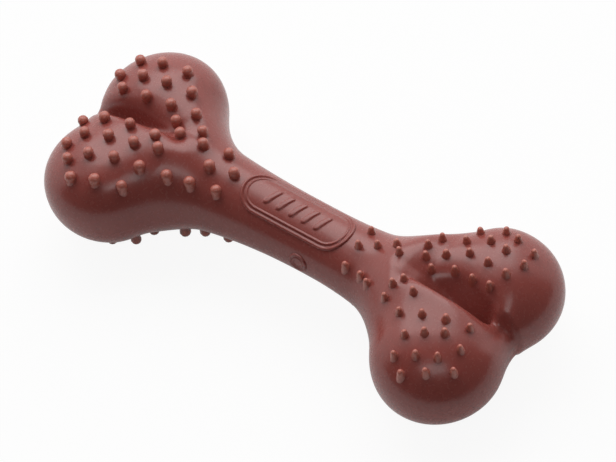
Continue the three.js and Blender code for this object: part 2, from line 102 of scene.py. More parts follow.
# Each knuckle in plan: distance from the middle along X, distance from the centre line, radius.
KNUCKLES = {
    "Left Near": (61.5 * MM, 14.8 * MM, 20 * MM),
    "Left Far": (63.1 * MM, 14.8 * MM, 20 * MM),
    "Right Near": (62.2 * MM, 15.2 * MM, 19.6 * MM),
    "Right Far": (63.8 * MM, 13.7 * MM, 19.3 * MM),
}
for knuckle_name, knuckle_sizes in KNUCKLES.items():
    for word, value in zip(("X", "Y", "Radius"), knuckle_sizes):
        BONE[f"{knuckle_name} {word}"] = value
SHAFT_WORDS = ("Shaft", "Waist", "Neck", "Mid")
SHAFT = {name: BONE[name] for name in BONE if "Valley" not in name and any(w in name for w in SHAFT_WORDS)}
BONE_BOX = (86 * MM, 39 * MM, 19 * MM)  # half sizes of the block that the skin is found in
BONE_CELL = 0.8 * MM
# How fast the valleys' softer ends come in along the bone.
CLOSING_POWER = 3.0
END_SOFT_POWER = 4.0
NECK_SOFT_POWER = 8.0
FAR_SOFT_POWER = 2.0

# Nubs: fat studs at the left end, slim cones at the right end.
STUD = {"Nub Radius": 1.75 * MM, "Nub Height": 3.0 * MM}
CONE = {"Nub Radius": 1.3 * MM, "Nub Height": 2.7 * MM}
# No tip stands further from the mid-plane than this; the lower tips are level on the table.
TIP_LEVEL = {"upper": 19.9 * MM, "lower": MID_Z}
NUB_SIDES = 12
NUB_SPREAD = {"Size Spread": 0.05, "Lean": 0.06}
FIRST_SEED = 10
SEED_STEP = 10
FOOT_TOP = 0.05  # share of a nub's height up to which its foot follows the skin
FOOT_TURN = 1.6  # how soon the foot goes over into the upright sides
RAY_START = 100 * MM  # distance from the table from which the skin's height is felt
LATHE_MERGE = 1e-4
# Rings from the buried foot to the tip: share of the nub's radius and share of its height.
STUD_RINGS = [
    (0.0, -0.30), (1.10, -0.30), (1.02, -0.04), (0.90, 0.12), (0.95, 0.34),
    (1.0, 0.56), (0.86, 0.80), (0.52, 0.95), (0.0, 1.0),
]
CONE_RINGS = [
    (0.0, -0.30), (1.22, -0.30), (1.10, -0.03), (0.94, 0.12), (0.82, 0.38),
    (0.68, 0.66), (0.55, 0.88), (0.34, 0.98), (0.0, 1.0),
]

# Rows of nubs in plan, in millimetres: first nub, last nub, how many; X counts outwards from the middle.
# On a knuckle they are measured from its centre, on the neck from the start of the neck's field.
LEFT_ROWS = {
    "near": [
        ((1.6, -12.9), (11.1, -3.4), 3),
        ((-6, -10.3), (8, 2), 3),
        ((14.4, 7.8), (14.4, 7.8), 1),
        ((-13.6, -7), (6.6, 9.9), 4),
        ((-15, 0.4), (-3.2, 11), 3),
        ((-16.7, 7.9), (-13, 11.3), 2),
    ],
    "far": [
        ((-18.6, -3.9), (-6.5, 7.4), 3),
        ((-19.3, -12.6), (-15, -9.2), 2),
        ((-10.4, -5.7), (2.5, 6.1), 3),
        ((-1.4, -6.7), (10.5, 4.6), 3),
        ((8.3, -7.2), (13.1, -2.6), 2),
    ],
    "neck": [
        ((3.9, -7.1), (15.6, 2.7), 3),
        ((2.2, 0), (8.3, 5.4), 2),
        ((12.3, -9.1), (18.8, -11.6), 2),
        ((18.8, 6.6), (18.8, 6.6), 1),
    ],
}
RIGHT_ROWS = {
    "near": [
        ((-18.7, 6.4), (-18.7, 2.1), 2),
        ((-16.7, 9.4), (-11.3, 6.6), 2),
        ((-11.4, -0.6), (8.1, 6.6), 4),
        ((-5.5, -6.2), (3.9, 0.4), 3),
        ((10, -0.8), (11.8, -7), 2),
        ((-4.9, -12.4), (6.3, -6.8), 3),
        ((-0.6, -15.6), (5.7, -11.9), 2),
    ],
    "far": [
        ((-18.5, -8.6), (-15.2, -10.8), 2),
        ((-20.3, -5), (-14.3, -4.7), 2),
        ((-9.2, -7.6), (2.6, -7), 3),
        ((-8.5, -0.9), (5, -2), 3),
        ((-18.9, 0), (-5.5, 5.5), 3),
        ((0.6, 4.6), (7.4, 3.6), 2),
        ((-11.3, 8.2), (-4, 11.1), 2),
        ((0.7, 10.4), (7.1, 9.1), 2),
    ],
    "neck": [
        ((2.1, -7.6), (2.1, -7.6), 1),
        ((8.2, -8.4), (11.8, -10), 2),
        ((2.5, -1), (13.1, 4), 3),
        ((16.1, 1.2), (16.1, 1.2), 1),
        ((2.1, 5.8), (2.1, 5.8), 1),
    ],
}
# Rows of the lower face are drawn in by this share, towards the point that they are measured from.
LOWER_SHARE = {"left": 0.94, "right": 0.85}
NECK_START = {"left": 19.6 * MM, "right": 22.6 * MM}

# Plain raised fields on the shaft: a long one on top and a small round one on the near side.
LABEL = {
    "Centre X": 1.5 * MM,
    "Centre Angle": 0.0,
    "Straight": 12.0 * MM,
    "Half Width": 7.5 * MM,
    "Rim Width": 0.9 * MM,
    "Inner Rim Gap": 1.0 * MM,
    "Relief": 0.5 * MM,
    "Bars": 5,
    "Bar Pitch": 4.6 * MM,
    "Bar Width": 1.7 * MM,
    "Bar Length": 6.0 * MM,
    "Bar Slant": 0.35,
}
ROUND_MARK = {
    "Centre X": 8.0 * MM,
    "Centre Angle": math.radians(-82),
    "Straight": 0.0,
    "Half Width": 3.2 * MM,
    "Rim Width": 0.7 * MM,
    "Inner Rim Gap": 0.75 * MM,
    "Relief": 0.45 * MM,
    "Bars": 0,
    "Bar Pitch": 1.0 * MM,
    "Bar Width": 1.0 * MM,
    "Bar Length": 1.0 * MM,
    "Bar Slant": 0.0,
}

# What both raised fields share: soft edges, a low plinth and a hidden part below the skin.
PAD = {
    "Edge Soft": 0.28 * MM,
    "Plinth": 0.05 * MM,
    "Sunk Edge": 0.25 * MM,
    "Pad Depth": 0.8 * MM,
    "Cell": 0.25 * MM,
}
INNER_RIM_HEIGHT = 0.7  # as a share of the relief
BAR_HEIGHT = 0.85
PAD_MERGE = 1e-6

# The photograph's camera: a long lens, looking down on the bone and turned a little.
IMAGE_WIDTH = 616
FOCAL_PIXELS = 2809.8
SENSOR_WIDTH = 36.0
CAMERA_AZIMUTH = math.radians(45.939)
CAMERA_ELEVATION = math.radians(52.724)
CAMERA_ROLL = math.radians(-11.297)
CAMERA_DISTANCE = 840.07 * MM
CAMERA_RIGHT = 3.194 * MM
CAMERA_UP = -0.01 * MM
CAMERA_NEAREST = 0.01

# A white wall of the studio stands behind the bone, and the room is dim on the camera's side.
FRONT_WAY = (0.71, -0.71)
WALL_BRIGHT = 1.0
WALL_START = 0.05  # how far towards the back a direction points where the wall begins
WALL_FADE = 0.3
ROOM_DIM = 0.04
TABLE_HALF = 3.0
TABLE_PALE = 0.95
# Painted shade: in front of the bone the table is dark to all rays but the camera's, standing in for the
# dim room on the camera's side in the bone's reflections and bounce light; the table itself goes on.
FRONT_PAINTED_SHADE = 0.12  # painted shade: the table's colour in front of the bone for all rays but the camera's
PAINTED_SHADE_START = 0.11  # how far in front of the bone's middle the painted shade starts
PAINTED_SHADE_FADE = 0.18
TABLE_MIRRORED = 0.35  # how much of the white table the bone mirrors
TABLE_GLOW = 0.92  # how much of the white is there without light; the rest shows the shadow
WHITE = (1.0, 1.0, 1.0, 1.0)
LAMP_DISTANCE = 1.0

# The rubber's finish.
BODY_DEEP = (0.272, 0.063, 0.052)
BODY_PALE = (0.310, 0.074, 0.061)
# Painted light: the nubs grow paler towards their tips, standing in for front light on them and light
# shining through the small nubs.
STUD_PAINTED_LIGHT = (0.46, 0.136, 0.102)
CONE_PAINTED_LIGHT = (0.50, 0.16, 0.12)
PAINTED_LIGHT_FROM, PAINTED_LIGHT_TO = -0.3, 0.5  # shares of a nub's height between which it grows paler: painted light
CLOUD_SCALE, CLOUD_DETAIL = 55.0, 3.0
SPECK_SCALE, SPECK_DETAIL = 900.0, 2.0
NOISE_ROUGHNESS = 0.55
SPECK_LOW, SPECK_HIGH = 0.3, 0.7
GLOSS_SMOOTH, GLOSS_DULL = 0.23, 0.29
GRAIN_STRENGTH = 0.12
GRAIN_DEPTH = 0.00008
RUBBER_IOR = 1.5
RUBBER_SPECULAR = 0.46
SCATTER_SHARE = 0.12
SCATTER_RADIUS = (1.0, 0.35, 0.25)
SCATTER_DEPTH = 0.0012

# Sockets that have no name of their own: of a colour mix and of a random number.
MIX_FIRST, MIX_SECOND, MIX_RESULT = 6, 7, 2
DRAW_LEAST, DRAW_MOST, DRAW_RESULT = 2, 3, 1


class Number:
    """A number in a node tree, so that the rule of a shape reads as plain arithmetic."""

    def __init__(self, tree, socket):
        self.tree = tree
        self.socket = socket

    def apply(self, operation, *others):
        node = self.tree.nodes.new("ShaderNodeMath")
        node.operation = operation
        for socket, value in zip(node.inputs, (self, *others)):
            feed(self.tree, value, socket)
        return Number(self.tree, node.outputs[0])

    def __add__(self, other):
        return self.apply("ADD", other)

    def __radd__(self, other):
        return self.apply("ADD", other)

    def __sub__(self, other):
        return self.apply("SUBTRACT", other)

    def __rsub__(self, other):
        return self.apply("MULTIPLY", -1.0).apply("ADD", other)

    def __mul__(self, other):
        return self.apply("MULTIPLY", other)

    def __rmul__(self, other):
        return self.apply("MULTIPLY", other)

    def __truediv__(self, other):
        return self.apply("DIVIDE", other)

    def __rtruediv__(self, other):
        return self.apply("POWER", -1.0).apply("MULTIPLY", other)

    def __pow__(self, other):
        return self.apply("POWER", other)

    def __neg__(self):
        return self.apply("MULTIPLY", -1.0)

    def size(self):
        return self.apply("ABSOLUTE")

    def at_least(self, other):
        return self.apply("MAXIMUM", other)

    def at_most(self, other):
        return self.apply("MINIMUM", other)

    def root(self):
        return self.apply("SQRT")

    def sine(self):
        return self.apply("SINE")

    def cosine(self):
        return self.apply("COSINE")

    def over(self, other):
        return self.apply("GREATER_THAN", other)

    def share(self):
        return self.at_least(0.0).at_most(1.0)

    def smooth_step(self):
        part = self.share()
        return part * part * (3.0 - 2.0 * part)


def feed(tree, value, socket):
    """Links a socket or number to an input, or sets a plain value on it."""
    if isinstance(value, Number):
        tree.links.new(value.socket, socket)
    elif isinstance(value, bpy.types.NodeSocket):
        tree.links.new(value, socket)
    else:
        socket.default_value = value


def node(tree, kind, settings=None, **inputs):
    """A new node with its settings made and its inputs fed; input names use _ for a space."""
    made = tree.nodes.new(kind)
    for name, value in (settings or {}).items():
        setattr(made, name, value)
    for name, value in inputs.items():
        feed(tree, value, made.inputs[name.replace("_", " ")])
    return made


def split(tree, vector):
    """The three numbers of a vector socket."""
    parts = node(tree, "ShaderNodeSeparateXYZ", Vector=vector)
    return [Number(tree, socket) for socket in parts.outputs]


def joined(tree, x, y, z):
    return node(tree, "ShaderNodeCombineXYZ", X=x, Y=y, Z=z).outputs["Vector"]


def blended_least(a, b, width):
    """The lesser of two numbers, rounded over where they are nearly alike."""
    part = (0.5 + 0.5 * (b - a) / width).share()
    return b + part * (a - b) - width * part * (1.0 - part)


def blended_most(a, b, width):
    return -blended_least(-a, -b, width)


def distance(a, b):
    return (a * a + b * b).root()


def mixed(a, b, part):
    """From a to b by a share."""
    return a * (1.0 - part) + part * b


SOCKETS = {
    float: "NodeSocketFloat",
    int: "NodeSocketInt",
    bpy.types.Object: "NodeSocketObject",
    bpy.types.Material: "NodeSocketMaterial",
}


def new_tree(name, inputs):
    """A Geometry Nodes tree with a geometry in and out and a named input for each size."""
    tree = bpy.data.node_groups.new(name, "GeometryNodeTree")
    tree.interface.new_socket("Geometry", in_out="INPUT", socket_type="NodeSocketGeometry")
    for label, value in inputs.items():
        tree.interface.new_socket(label, in_out="INPUT", socket_type=SOCKETS[type(value)])
    tree.interface.new_socket("Geometry", in_out="OUTPUT", socket_type="NodeSocketGeometry")
    entry = tree.nodes.new("NodeGroupInput")
    numbers = {}
    for label, value in inputs.items():
        socket = entry.outputs[label]
        numbers[label] = Number(tree, socket) if isinstance(value, (int, float)) else socket
    return tree, entry.outputs["Geometry"], numbers


def finish_tree(tree, geometry, material):
    """Realizes what is there, shades it smooth, sets the material and ends the tree."""
    real = node(tree, "GeometryNodeRealizeInstances", Geometry=geometry)
    smooth = node(tree, "GeometryNodeSetShadeSmooth", Geometry=real.outputs["Geometry"])
    painted = node(tree, "GeometryNodeSetMaterial", Geometry=smooth.outputs["Geometry"], Material=material)
    end = tree.nodes.new("NodeGroupOutput")
    tree.links.new(painted.outputs["Geometry"], end.inputs["Geometry"])


def grown(name, start, tree, inputs):
    """A plain mesh piece, made by running a tree with its inputs on a starting mesh."""
    source = bpy.data.objects.new(name + "_source", start)
    bpy.context.scene.collection.objects.link(source)
    modifier = source.modifiers.new("Grow", "NODES")
    modifier.node_group = tree
    for item in tree.interface.items_tree:
        if item.in_out == "INPUT" and item.name in inputs:
            modifier[item.identifier] = inputs[item.name]
    bpy.context.view_layer.update()
    graph = bpy.context.evaluated_depsgraph_get()
    mesh = bpy.data.meshes.new_from_object(source.evaluated_get(graph))
    bpy.data.objects.remove(source)
    mesh.name = name
    piece = bpy.data.objects.new(name, mesh)
    bpy.context.scene.collection.objects.link(piece)
    return piece


def shaft_rule(x, size):
    """Radius of the shaft at a place along X, and how far its middle is off the centre line."""
    from_waist = x - size["Waist X"]
    is_left = (-from_waist).over(0.0)
    reach = size["Neck X"] + mixed(-size["Waist X"], size["Waist X"], is_left)
    part = (from_waist.size() / reach).at_most(1.0)
    neck_radius = mixed(size["Right Neck Radius"], size["Left Neck Radius"], is_left)
    neck_shift = mixed(size["Right Neck Shift"], size["Left Neck Shift"], is_left)
    radius = mixed(size["Shaft Radius"], neck_radius, part ** size["Neck Flare"])
    middle = mixed(size["Shaft Bow"], neck_shift, part * part)
    return radius, middle


def knuckle_plan(x, y, size, centre_x, centre_y, knuckle_radius):
    """Distance in plan from the outline of one knuckle with its half of the hub, below zero inside."""
    along_x = centre_x - size["Hub X"]
    from_hub = x - size["Hub X"]
    part = (from_hub * along_x + y * centre_y) / (along_x * along_x + centre_y * centre_y)
    part = part.share()
    radius = mixed(size["Hub Radius"], knuckle_radius, part)
    return distance(from_hub - part * along_x, y - part * centre_y) - radius


def rounded_over(plan, x, z, size):
    """Gives an outline in plan its thickness, which tapers to the end and rounds over at the edge."""
    taper = ((x - size["Taper X"]) / size["Taper Length"]).share() * size["Taper Share"]
    thickness = size["Half Thickness"] * (1.0 - taper)
    power = size["Squareness"]
    inward = (1.0 + plan / size["Edge Round"]).at_least(0.0) ** power
    rise = (z.size() / thickness) ** power
    return ((inward + rise) ** (1.0 / power) - 1.0) * size["Edge Round"]


def build_bone_tree(material):
    """The whole skin of the bone: two pairs of knuckles, the shaft and the two valleys, all blended."""
    inputs = {**BONE, "Material": material}
    tree, _, size = new_tree("Bone skin", inputs)
    place = node(tree, "GeometryNodeInputPosition").outputs["Position"]
    real_x, y, height = split(tree, place)
    x = real_x.size()
    z = height - size["Mid Z"]
    is_left = (-real_x).over(0.0)

    def by_end(name):
        return mixed(size["Right " + name], size["Left " + name], is_left)

    def valley_size(name):
        return by_end("Valley " + name)

    near = knuckle_plan(x, y, size, by_end("Near X"), -by_end("Near Y"), by_end("Near Radius"))
    far = knuckle_plan(x, y, size, by_end("Far X"), by_end("Far Y"), by_end("Far Radius"))
    outline = blended_least(far, near, size["Knuckle Blend"])
    pair = rounded_over(outline, x, z, size)
    shaft_radius, shaft_middle = shaft_rule(real_x, size)
    past_neck = (x - size["Neck X"]).at_least(0.0)
    shaft = distance(distance(y - shaft_middle, z), past_neck) - shaft_radius
    whole = blended_least(pair, shaft, size["Neck Blend"])

    fall = (size["Valley End X"] - x).at_least(0.0) / (size["Valley End X"] - size["Valley Neck X"])
    low_side = (-z / size["Low Turn"]).smooth_step()
    end_floor = mixed(valley_size("End Z"), valley_size("Low End Z"), low_side)
    floor = mixed(end_floor, valley_size("Neck Z"), fall * fall)
    under = (floor - z.size()).at_least(0.0)
    over = (z.size() - floor).at_least(0.0)
    from_line = y - mixed(valley_size("End Y"), valley_size("Neck Y"), fall)
    along_end = (1.0 - fall).at_least(0.0)
    along_neck = 1.0 - along_end
    far_share = valley_size("Far Share") + size["Valley End Closing"] * along_end ** CLOSING_POWER
    sideways = (-from_line).at_least(from_line * far_share)
    past_close = (x - valley_size("Close X")).at_least(0.0) * size["Valley Close Share"]
    from_floor = distance(distance(sideways, under), past_close)
    valley = from_floor - valley_size("Floor") - over * valley_size("Opening")
    far_side = (from_line / size["Valley Turn"]).smooth_step()
    near_blend = valley_size("Near Blend") + valley_size("End Soft") * along_end ** END_SOFT_POWER
    near_blend = near_blend + valley_size("Neck Soft") * along_neck ** NECK_SOFT_POWER
    far_blend = valley_size("Far Blend") + valley_size("Neck Soft") * along_neck ** FAR_SOFT_POWER
    blend = mixed(near_blend, far_blend, far_side)
    skin = blended_most(whole, -valley, blend)

    low = Vector((-BONE_BOX[0], -BONE_BOX[1], MID_Z - BONE_BOX[2]))
    high = Vector((BONE_BOX[0], BONE_BOX[1], MID_Z + BONE_BOX[2]))
    block = node(tree, "GeometryNodeVolumeCube", Density=-skin, Background=-1.0, Min=low, Max=high)
    for axis, half in zip("XYZ", BONE_BOX):
        block.inputs["Resolution " + axis].default_value = round(2 * half / BONE_CELL) + 1
    shell = node(tree, "GeometryNodeVolumeToMesh", Volume=block.outputs["Volume"], Threshold=0.0)
    finish_tree(tree, shell.outputs["Mesh"], size["Material"])
    return tree


def ring_value(tree, ring, values):
    """The value that belongs to a ring of a nub, picked by the ring's number."""
    pick = node(tree, "GeometryNodeIndexSwitch", {"data_type": "FLOAT"})
    while len(pick.index_switch_items) < len(values):
        pick.index_switch_items.new()
    feed(tree, ring, pick.inputs["Index"])
    for number, value in enumerate(values):
        pick.inputs[str(number)].default_value = value
    return Number(tree, pick.outputs["Output"])


def captured(tree, geometry, domain, **values):
    """Keeps values on a geometry as it is now; gives the geometry and the kept values back."""
    keep = node(tree, "GeometryNodeCaptureAttribute", {"domain": domain}, Geometry=geometry)
    kept = []
    for name, value in values.items():
        keep.capture_items.new("FLOAT", name)
        feed(tree, value, keep.inputs[name])
        kept.append(Number(tree, keep.outputs[name]))
    return keep.outputs["Geometry"], kept


def skin_height(tree, bone_mesh, x, y, face):
    """Height of the bone's skin at a place in plan, seen from above or from below, and if there is any."""
    start = joined(tree, x, y, face * RAY_START)
    way = joined(tree, 0.0, 0.0, -face)
    ray = node(
        tree,
        "GeometryNodeRaycast",
        Target_Geometry=bone_mesh,
        Source_Position=start,
        Ray_Direction=way,
        Ray_Length=2.0 * RAY_START,
    )
    hit = Number(tree, ray.outputs["Is Hit"])
    _, _, height = split(tree, ray.outputs["Hit Position"])
    return height, hit


def build_nub_tree(name, rings, bone, material):
    """Nubs standing on the bone over the given places, each with a flared foot that follows the skin."""
    inputs = {
        **STUD,
        "Bone": bone,
        "Face": 1.0,
        "Tip Level": TIP_LEVEL["upper"],
        "Mid Z": MID_Z,
        **NUB_SPREAD,
        "Seed": FIRST_SEED,
        "Material": material,
    }
    tree, places, size = new_tree(name, inputs)
    face = size["Face"]
    bone_mesh = node(tree, "GeometryNodeObjectInfo", Object=size["Bone"]).outputs["Geometry"]

    # Where each nub stands, how tall it is and how it leans.
    place_x, place_y, _ = split(tree, node(tree, "GeometryNodeInputPosition").outputs["Position"])
    seat, _ = skin_height(tree, bone_mesh, place_x, place_y, face)
    room = size["Tip Level"] - (seat - size["Mid Z"]) * face
    tall = size["Nub Height"].at_most(room)

    def drawn(spread, offset):
        draw = node(tree, "FunctionNodeRandomValue", {"data_type": "FLOAT"})
        feed(tree, -spread, draw.inputs[DRAW_LEAST])
        feed(tree, spread, draw.inputs[DRAW_MOST])
        feed(tree, size["Seed"] + offset, draw.inputs["Seed"])
        return Number(tree, draw.outputs[DRAW_RESULT])

    places, kept = captured(
        tree,
        places,
        "POINT",
        seat=seat,
        tall=tall,
        lean_x=drawn(size["Lean"], 1.0),
        lean_y=drawn(size["Lean"], 2.0),
    )
    seat, tall, lean_x, lean_y = kept

    # One nub, turned up from its rings.
    sheet = node(
        tree,
        "GeometryNodeMeshGrid",
        Size_X=1.0,
        Size_Y=1.0,
        Vertices_X=NUB_SIDES + 1,
        Vertices_Y=len(rings),
    )
    across, along, _ = split(tree, node(tree, "GeometryNodeInputPosition").outputs["Position"])
    turn = (across + 0.5) * (2 * math.pi)
    ring = (along + 0.5) * (len(rings) - 1) + 0.5
    radius = ring_value(tree, ring.socket, [share for share, _ in rings])
    rise = ring_value(tree, ring.socket, [share for _, share in rings])
    sheet_mesh, (rise,) = captured(tree, sheet.outputs["Mesh"], "POINT", rise=rise)
    turned = joined(tree, radius * turn.cosine(), radius * turn.sine() * face, rise)
    lathe = node(tree, "GeometryNodeSetPosition", Geometry=sheet_mesh, Position=turned)
    turned_mesh = lathe.outputs["Geometry"]
    closed = node(tree, "GeometryNodeMergeByDistance", Geometry=turned_mesh, Distance=LATHE_MERGE)

    spread = 1.0 + drawn(size["Size Spread"], 3.0)
    width = size["Nub Radius"] * spread
    stand = node(
        tree,
        "GeometryNodeInstanceOnPoints",
        Points=places,
        Instance=closed.outputs["Geometry"],
        Scale=joined(tree, width, width, width),
    )
    real = node(tree, "GeometryNodeRealizeInstances", Geometry=stand.outputs["Instances"])

    # Every point goes to its height: the foot follows the skin, the rest stands straight.
    x, y, _ = split(tree, node(tree, "GeometryNodeInputPosition").outputs["Position"])
    skin, hit = skin_height(tree, bone_mesh, x, y, face)
    skin = mixed(seat - face * size["Nub Height"], skin, hit)
    upright = ((rise - FOOT_TOP) * FOOT_TURN).smooth_step()
    height = mixed(skin, seat, upright) + face * rise * tall
    lift = rise.at_least(0.0) * tall
    shaped = joined(tree, x + lean_x * lift, y + lean_y * lift, height)
    moved = node(tree, "GeometryNodeSetPosition", Geometry=real.outputs["Geometry"], Position=shaped)
    # Each point's share of the nub's height is kept for the material, which uses it to paint light paler
    # towards the tips.
    marked = node(tree, "GeometryNodeStoreNamedAttribute", {"data_type": "FLOAT", "domain": "POINT"})
    feed(tree, moved.outputs["Geometry"], marked.inputs["Geometry"])
    marked.inputs["Name"].default_value = "rise"
    feed(tree, rise, marked.inputs["Value"])
    finish_tree(tree, marked.outputs["Geometry"], size["Material"])
    return tree


def build_raised_field_tree(material):
    """A thin closed pad on the shaft with a double rim and plain slanted bars."""
    inputs = {
        **LABEL,
        **SHAFT,
        **PAD,
        "Material": material,
    }
    tree, _, size = new_tree("Raised field", inputs)
    half_x = size["Straight"] + size["Half Width"] + size["Sunk Edge"]
    half_y = size["Half Width"] + size["Sunk Edge"]
    sheet = node(
        tree,
        "GeometryNodeMeshGrid",
        Size_X=2.0 * half_x,
        Size_Y=2.0 * half_y,
        Vertices_X=2.0 * half_x / size["Cell"] + 1.0,
        Vertices_Y=2.0 * half_y / size["Cell"] + 1.0,
    )
    u, v, _ = split(tree, node(tree, "GeometryNodeInputPosition").outputs["Position"])
    beyond = (u.size() - size["Straight"]).at_least(0.0)
    inside = size["Half Width"] - distance(beyond, v)

    def ridge(off_line, half_width):
        return ((half_width - off_line.size()) / size["Edge Soft"] + 0.5).smooth_step()

    half_rim = size["Rim Width"] * 0.5
    outer = ridge(inside - half_rim, half_rim)
    inner_line = size["Rim Width"] + size["Inner Rim Gap"]
    inner = ridge(inside - inner_line, half_rim * 0.5)
    slanted = u - v * size["Bar Slant"]
    count = size["Bars"]
    nearest = (slanted / size["Bar Pitch"] + (count - 1.0) * 0.5).apply("ROUND")
    nearest = nearest.at_least(0.0).at_most((count - 1.0).at_least(0.0))
    off_bar = slanted - (nearest - (count - 1.0) * 0.5) * size["Bar Pitch"]
    past_bar = (v.size() - size["Bar Length"] * 0.5 + size["Bar Width"] * 0.5).at_least(0.0)
    bar = ridge(distance(off_bar, past_bar), size["Bar Width"] * 0.5) * count.at_most(1.0)
    raised = outer.at_least(inner * INNER_RIM_HEIGHT).at_least(bar * BAR_HEIGHT) * size["Relief"]
    sunk = ((-inside) / size["Sunk Edge"]).share() * (size["Sunk Edge"] + size["Plinth"])
    lift = size["Plinth"] + raised - sunk

    trimmed = node(tree, "GeometryNodeDeleteGeometry", Geometry=sheet.outputs["Mesh"])
    feed(tree, (-inside).over(size["Sunk Edge"]), trimmed.inputs["Selection"])
    pad, (lift, u, v) = captured(tree, trimmed.outputs["Geometry"], "POINT", lift=lift, u=u, v=v)
    x = u + size["Centre X"]
    shaft, middle = shaft_rule(x, size)
    angle = v / shaft + size["Centre Angle"]

    def wrapped(radius):
        return joined(tree, x, middle + radius * angle.sine(), radius * angle.cosine() + size["Mid Z"])

    top = node(tree, "GeometryNodeSetPosition", Geometry=pad, Position=wrapped(shaft + lift))
    turned = node(tree, "GeometryNodeFlipFaces", Mesh=top.outputs["Geometry"])
    thick = node(
        tree,
        "GeometryNodeExtrudeMesh",
        {"mode": "FACES"},
        Mesh=turned.outputs["Mesh"],
        Individual=False,
        Offset_Scale=0.0,
    )
    base = node(tree, "GeometryNodeSetPosition", Geometry=thick.outputs["Mesh"])
    feed(tree, thick.outputs["Top"], base.inputs["Selection"])
    feed(tree, wrapped(shaft - size["Pad Depth"]), base.inputs["Position"])
    both = node(tree, "GeometryNodeJoinGeometry")
    tree.links.new(top.outputs["Geometry"], both.inputs["Geometry"])
    tree.links.new(base.outputs["Geometry"], both.inputs["Geometry"])
    both_sides = both.outputs["Geometry"]
    closed = node(tree, "GeometryNodeMergeByDistance", Geometry=both_sides, Distance=PAD_MERGE)
    finish_tree(tree, closed.outputs["Geometry"], size["Material"])
    return tree


def mixed_colour(tree, part, first, second):
    """A colour between two others, by a share."""
    mix = node(tree, "ShaderNodeMix", {"data_type": "RGBA"}, Factor=part)
    feed(tree, first, mix.inputs[MIX_FIRST])
    feed(tree, second, mix.inputs[MIX_SECOND])
    return mix.outputs[MIX_RESULT]


def ranged(tree, value, low, high, to_low, to_high):
    """A value brought from one range into another and held at its ends."""
    made = node(
        tree,
        "ShaderNodeMapRange",
        Value=value,
        From_Min=low,
        From_Max=high,
        To_Min=to_low,
        To_Max=to_high,
    )
    return made.outputs["Result"]


def rubber_material(name, tip=None):
    """Satin brown rubber: slow mottling, fine grain and uneven gloss; nubs grow paler to their tips, a
    painted light.
    """
    material = bpy.data.materials.new(name)
    material.use_nodes = True
    tree = material.node_tree
    shader = tree.nodes["Principled BSDF"]
    place = node(tree, "ShaderNodeTexCoord").outputs["Object"]

    def noise(scale, detail):
        made = node(
            tree,
            "ShaderNodeTexNoise",
            Vector=place,
            Scale=scale,
            Detail=detail,
            Roughness=NOISE_ROUGHNESS,
        )
        return made.outputs["Fac"]

    clouds = noise(CLOUD_SCALE, CLOUD_DETAIL)
    specks = noise(SPECK_SCALE, SPECK_DETAIL)
    colour = mixed_colour(tree, clouds, (*BODY_DEEP, 1.0), (*BODY_PALE, 1.0))
    # Painted light: the nub's colour grows paler towards its tip, for front light on it and light shining
    # through it.
    if tip:
        height = node(tree, "ShaderNodeAttribute", {"attribute_name": "rise"}).outputs["Fac"]
        painted_light_share = ranged(tree, height, PAINTED_LIGHT_FROM, PAINTED_LIGHT_TO, 0.0, 1.0)
        colour = mixed_colour(tree, painted_light_share, colour, (*tip, 1.0))
    gloss = ranged(tree, specks, SPECK_LOW, SPECK_HIGH, GLOSS_SMOOTH, GLOSS_DULL)
    grain = node(tree, "ShaderNodeBump", Strength=GRAIN_STRENGTH, Distance=GRAIN_DEPTH, Height=specks)
    finish = {
        "Base Color": colour,
        "Roughness": gloss,
        "Normal": grain.outputs["Normal"],
        "IOR": RUBBER_IOR,
        "Specular IOR Level": RUBBER_SPECULAR,
        "Subsurface Weight": SCATTER_SHARE,
        "Subsurface Radius": SCATTER_RADIUS,
        "Subsurface Scale": SCATTER_DEPTH,
    }
    for socket_name, value in finish.items():
        feed(tree, value, shader.inputs[socket_name])
    return material


def places_mesh(name, rows, end, origin_x, origin_y, share):
    """A mesh of single points at the places of a field's nubs."""
    points = []
    for first, last, count in rows:
        for index in range(count):
            part = index / (count - 1) if count > 1 else 0.0
            place = Vector(first).lerp(Vector(last), part) * share * MM
            points.append((end * (origin_x + place.x), origin_y + place.y, 0.0))
    mesh = bpy.data.meshes.new(name)
    mesh.from_pydata(points, [], [])
    return mesh


def dressed(piece, *nodes):
    """Ties a finished piece to the bone's one body and hides the solids that it stands for."""
    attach(piece, "root")
    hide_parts(*nodes)


# The rubber and the bone itself.
body_rubber = rubber_material("brown_rubber")
# The nubs' materials carry painted light: paler towards the tips.
stud_rubber = rubber_material("brown_rubber_studs", STUD_PAINTED_LIGHT)
cone_rubber = rubber_material("brown_rubber_cones", CONE_PAINTED_LIGHT)

bone_tree = build_bone_tree(body_rubber)
bone_sizes = {**BONE, "Material": body_rubber}
bone = grown("moulded_bone", bpy.data.meshes.new("bone_start"), bone_tree, bone_sizes)
dressed(bone, "bone_body")

